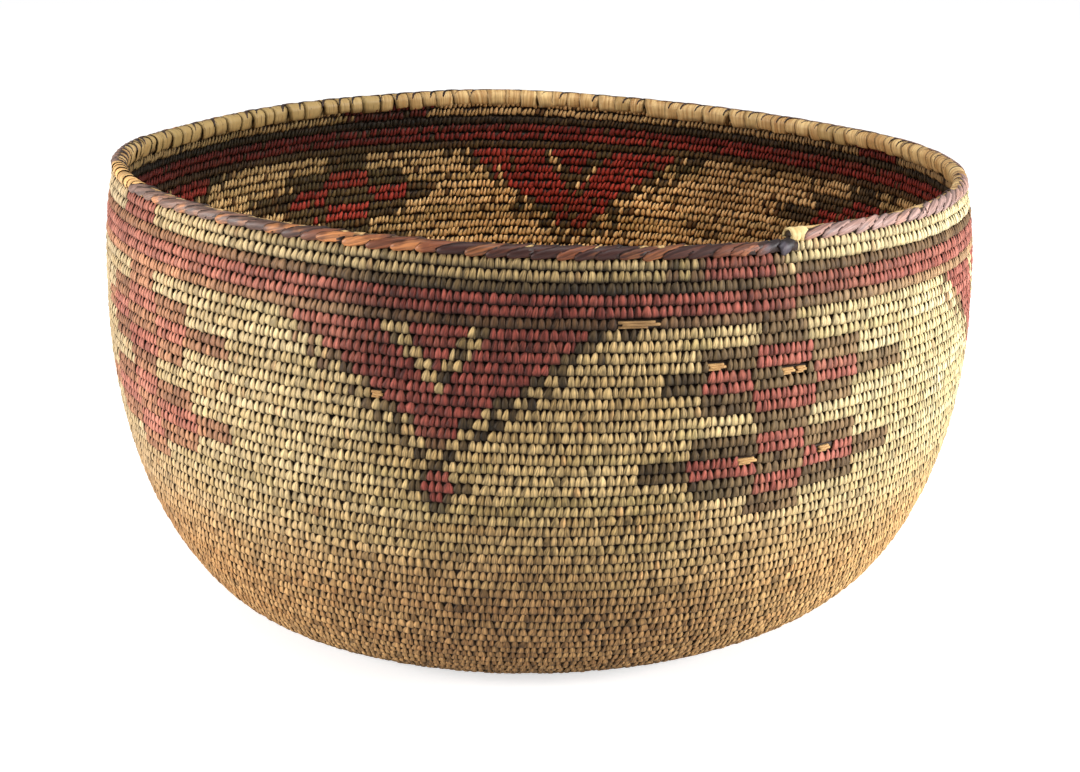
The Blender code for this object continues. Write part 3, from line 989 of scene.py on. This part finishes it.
def wornSplints():
    for number, (row, low, high) in enumerate(wornPlaces):
        start = row + ((low - bowl["jog"]) % 360) / 360
        end = start + (high - low) / 360
        finish = finishes["rod"] if row == splint["darkRow"] else finishes["splint"]
        for letter, (up, halfRise, out, late, short) in splint["threads"].items():
            name = f"worn_splint_{number + 1}_{letter}"
            first = start + (end - start) * late
            stop = end - (end - start) * short
            mesh = sweptCoil(name, first, stop, halfRise, splint["halfDepth"], out, splint["steps"], up)
            addRod(name, mesh, finish)


wornSplints()
print("worn places laid bare")

# the rim: a rod, broad straps over it, and dark strips laid along its outer edge
rim = {
    "halfRise": 2.72 * mm,
    "halfDepth": 3.3 * mm,
    "coreRise": 0.47,           # turns
    "coreDepth": 3.2 * mm,
}

strap = {
    "step": 11.8 * mm,
    "unevenness": 0.26,
    "drift": 0.08,
    "half": 7.4 * mm,
    "halfSpread": (0.95, 1.03),
    "thick": 0.70 * mm,
    "dome": 0.25 * mm,
    "shingle": 0.35 * mm,
    "outside": -56,             # degrees round the section, from straight out
    "stations": 11,
    "drops": (0.5, 0.85, 1.0),  # of its drop below the rim's middle, inside
    "drop": 6.6 * mm,
    "dropSpread": (0.8, 1.2),
    "slant": 2.6 * mm,
    "taper": (0.2, 0.7, 0.3),   # how much it narrows, from where, and over how much of its length
    "tuck": {0: 1.3 * mm, 12: 0.5 * mm, 13: 1.5 * mm},      # by station: how far in its ends go
    "variants": 8,
    "spread": (0.05, 0.0, 2.5, 0.12 * mm),
    "bareMargin": 1.5,          # degrees past the lashing's end where a strap still looks bare
}

lash = {
    "from": 0.0075,             # turns
    "to": 0.988,
    "step": 11.2 * mm,
    "unevenness": 0.08,
    "drift": 0.03,
    "thick": 0.90 * mm,
    "shingle": 0.32 * mm,
    "variants": 6,
    "lengthSpread": (0.94, 1.06),
    "halfSpread": (0.9, 1.1),
    "spread": (0.06, 0.0, 3.0, 0.12 * mm),
    # a strip is leaf-shaped: a round bulb low on the left, and a thin tail over the rim's top to the inside
    # each station: along, round the section from straight out, half width and thickness, in mm
    "path": ((0.0, -2.4, 0.6, 0.05), (1.0, -2.3, 2.0, 0.8), (3.2, -1.8, 3.1, 1.0), (8.5, -0.2, 3.5, 0.95),
             (14.0, 1.5, 3.1, 0.8), (18.5, 3.2, 2.3, 0.65), (21.5, 4.9, 1.5, 0.6), (23.3, 6.8, 1.0, 0.75),
             (24.5, 9.0, 0.8, 0.85), (25.2, 11.2, 0.7, 0.8), (25.8, 13.2, 0.4, 0.2)),
    "centre": 11.5,             # along, in mm
    "missing": ((282.0, 299.0), (78.0, 87.0)),      # degrees where the lashing has worn away
}


# a point on the rim's section: round it from straight out, and lifted off it
def rimSection(angle, lift):
    y, z = rim["halfRise"] * np.sin(angle), rim["halfDepth"] * np.cos(angle)
    normal = unit(np.stack([np.sin(angle) / rim["halfRise"], np.cos(angle) / rim["halfDepth"]], -1))
    return y + lift * normal[..., 0], z - bowl["wall"] / 2 + lift * normal[..., 1]


def strapMesh(name, rng):
    across = np.linspace(-1, 1, 5)
    stations = [(angle, 0.0) for angle in np.radians(np.linspace(strap["outside"], 180, strap["stations"]))]
    stations += [(math.pi, strap["drop"] * part) for part in strap["drops"]]
    points = []
    slant = rng.uniform(-1, 1) * strap["slant"]
    long = rng.uniform(*strap["dropSpread"])
    narrowing, start, over = strap["taper"]
    for i, (angle, drop) in enumerate(stations):
        share = i / (len(stations) - 1)
        half = strap["half"] * rng.uniform(*strap["halfSpread"])
        half = half * (1 - narrowing * max(0.0, share - start) / over)
        thick = strap["thick"] + strap["dome"] * (1 - across ** 2) + strap["shingle"] * across
        y, z = rimSection(np.full(len(across), angle), thick - strap["tuck"].get(i, 0.0))
        points.append(np.stack([across * half + slant * share, y - drop * long, z], -1))
    return stripMesh(name, points, across)


def lashMesh(name, rng, long, broad=1.0, last=None):
    across = np.linspace(-1, 1, 5)
    path = np.array(lash["path"][:last]) * (long, 1, broad, broad)
    middle = path[:, :2] - (lash["centre"] * long, 0)
    heading = unit(np.gradient(middle, axis=0))
    points = []
    for i, (half, thick) in enumerate(path[:, 2:]):
        half *= rng.uniform(*lash["halfSpread"])
        x = (middle[i, 0] - across * half * heading[i, 1]) * mm
        arc = (middle[i, 1] + across * half * heading[i, 0]) * mm
        crown = thick * np.clip(1.1 - across ** 4, 0.25, 1)     # flat on top, and round at its edges
        lift = strap["thick"] + lash["thick"] * crown + lash["shingle"] * across * min(1.0, thick * 1.5)
        y, z = rimSection(arc / (rim["halfDepth"] + strap["thick"]), lift)
        points.append(np.stack([x, y, z], -1))
    return stripMesh(name, points, across)


# where the lashing is missing
def isBare(turn, margin):
    bare = np.zeros(len(turn), bool)
    for low, high in lash["missing"]:
        bare |= isWithin(azimuthOf(turn), low, high, margin)
    return bare


def rimPiece(name, turn, width, meshes, finish, seed, spread, lean=0.0):
    rng = np.random.default_rng(seed)
    along, outward = coilFrame(turn)
    facts = {
        "alongCoil": along,
        "outOfWall": outward,
        "firstLeaf": np.zeros(len(turn)),
        "leafWidth": np.broadcast_to(width, turn.shape),
        "leafLean": np.full(len(turn), math.radians(lean)),
        "stitchSeed": rng.uniform(0, 1, len(turn)),
        "bareStrap": isBare(turn, strap["bareMargin"]),
    }
    shelf = leafCollection(name + "_shelf", meshes)
    return placePiece(name, coilPoint(turn), facts, shelf, len(meshes), spread, finish, seed)


def wrapRim():
    rng = np.random.default_rng(5)
    shapes = [strapMesh(f"strap_shape_{i}", rng) for i in range(strap["variants"])]
    turn, width = spacedTurns(0, 1, strap["step"], strap["unevenness"], strap["drift"], 21)
    straps = rimPiece("rim_strap_wraps", turn, width, shapes, finishes["strap"], 21, strap["spread"])
    own(straps, "rim_strap", "rim_straps")


def lashRim():
    rng = np.random.default_rng(6)
    shapes = [lashMesh(f"lash_shape_{i}", rng, rng.uniform(*lash["lengthSpread"]))
              for i in range(lash["variants"])]
    turn, width = spacedTurns(lash["from"], lash["to"], lash["step"], lash["unevenness"], lash["drift"], 31)
    kept = ~isBare(turn, 0.0)
    lashing = rimPiece("rim_lashing_strips", turn[kept], width[kept], shapes, finishes["bark"], 31,
                       lash["spread"])
    own(lashing, "rim_bark", "rim_lashing")


wrapRim()
lashRim()
rimCore = sweptCoil("rim_core", 0.0, 1.0, rim["coreRise"], rim["coreDepth"], -bowl["wall"] / 2,
                    foundation["stepsPerTurn"])
addRod("rim_core", rimCore, finishes["foundation"], "rim_rod")
print("rim wrapped and lashed")

# the rim's two ends: a pale sleeve on the upper one, a steep dark knot on the lower one
rimEnds = {
    "sleeveTurns": (0.0013, 0.0046),
    "sleeveHalf": 3.4 * mm,
    "sleeveThick": 1.25 * mm,
    "sleeveAngles": (-75, 205, 15),     # degrees round the section: from, to, and how many stations
    "sleeveTuck": 1.2 * mm,
    # the knot's strips: place, length and breadth beside the rest's, and how much steeper, in degrees
    "knotStrips": ((0.9858, 0.8, 0.9, 2.0), (0.9908, 0.66, 0.85, 4.0), (0.9975, 0.44, 1.5, 8.0)),
    "knotStations": 7,
    "spread": (0.06, 0.0, 3.0, 0.05 * mm),
}


def sleeveMesh(name, rng):
    across = np.linspace(-1, 1, 7)
    angles = np.radians(np.linspace(*rimEnds["sleeveAngles"]))
    points = []
    for i, angle in enumerate(angles):
        half = rimEnds["sleeveHalf"] * rng.uniform(0.96, 1.04)
        thick = rimEnds["sleeveThick"] * (1 - 0.75 * across ** 4)
        tuck = rimEnds["sleeveTuck"] if i in (0, len(angles) - 1) else 0.0
        y, z = rimSection(np.full(len(across), angle), thick - tuck)
        points.append(np.stack([across * half, y, z], -1))
    return stripMesh(name, points, across)


def endRim():
    rng = np.random.default_rng(8)
    spread = rimEnds["spread"]
    shapes = [sleeveMesh(f"sleeve_shape_{i}", rng) for i in range(2)]
    places = np.array(rimEnds["sleeveTurns"])
    sleeve = rimPiece("rim_end_sleeve", places, 1.0, shapes, finishes["sleeve"], 41, spread)
    own(sleeve, "rim_strap", "rim_end_wrap")
    for i, (turn, long, broad, lean) in enumerate(rimEnds["knotStrips"]):
        shape = lashMesh(f"knot_shape_{i}", rng, long, broad, rimEnds["knotStations"])
        name = f"rim_knot_strip_{i + 1}"
        strip = rimPiece(name, np.array([turn]), 1.0, [shape], finishes["bark"], 42 + i, spread, lean)
        own(strip, "rim_bark", "rim_end_knot")


endRim()
print("rim ends made")

for mesh in [m for m in bpy.data.meshes if m.users == 0]:
    bpy.data.meshes.remove(mesh)

view = {
    "place": (0.4 * mm, -1166.4 * mm, 451.9 * mm),
    "down": 16.22,              # degrees
    "lens": 67.3,
    "sensor": 36.0,
}


def addCamera():
    data = bpy.data.cameras.new("camera")
    data.lens, data.sensor_width = view["lens"], view["sensor"]
    camera = newObject("camera", data)
    camera.location = view["place"]
    camera.rotation_euler = (math.radians(90 - view["down"]), 0, 0)
    bpy.context.scene.camera = camera


studio = {
    "floorHalf": 4.0,
    "floorDrop": 0.5 * mm,
    "floorColour": (0.88, 0.88, 0.88, 1),
    "floorGlow": 0.63,          # for the camera only
    # each lamp: where it stands, its size and its power
    "lamps": {
        "key": ((1.8, -0.5, 0.50), 0.7, 39.0),
        "fill": ((-1.8, -0.45, 0.42), 0.8, 36.0),
        "top": ((0.1, -0.6, 1.9), 0.8, 20.0),
    },
    "aim": (0.0, 0.0, 0.12),
    "world": 0.38,
    "white": (1, 1, 1, 1),
}


def addLamps():
    for name, (place, size, power) in studio["lamps"].items():
        data = bpy.data.lights.new(name, "AREA")
        data.size, data.energy = size, power
        lamp = newObject(name, data)
        lamp.location = place
        aim = np.array(studio["aim"]) - np.array(place)
        tilt = math.atan2(math.hypot(aim[0], aim[1]), -aim[2])
        lamp.rotation_euler = (tilt, 0, math.atan2(aim[1], aim[0]) - math.pi / 2)


def addFloor():
    half, low = studio["floorHalf"], -studio["floorDrop"]
    corners = [(x, y, low) for x, y in ((-half, -half), (half, -half), (half, half), (-half, half))]
    mesh = newMesh("floor", corners, [(0, 1, 2, 3)])
    material = bpy.data.materials.new("floor_paper")
    bench = emptyTree(material)
    seen = bench.node("ShaderNodeLightPath")
    diffuse = bench.node("ShaderNodeBsdfDiffuse", {"Color": studio["floorColour"]})
    glow = {"Color": studio["white"], "Strength": seen * studio["floorGlow"]}
    glow = bench.node("ShaderNodeEmission", glow)
    linkOutput(bench, bench.node("ShaderNodeAddShader", {0: diffuse, 1: glow}))
    mesh.materials.append(material)
    newObject("floor", mesh)


def addWorld():
    world = bpy.data.worlds.new("studio")
    bpy.context.scene.world = world
    bench = emptyTree(world)
    strength = studio["world"] + bench.node("ShaderNodeLightPath") * (1 - studio["world"])
    sky = bench.node("ShaderNodeBackground", {"Color": studio["white"], "Strength": strength})
    linkOutput(bench, sky, "ShaderNodeOutputWorld")


addCamera()
addLamps()
addFloor()
addWorld()
bpy.context.scene.view_settings.view_transform = "Standard"
print("camera, lamps and floor set")
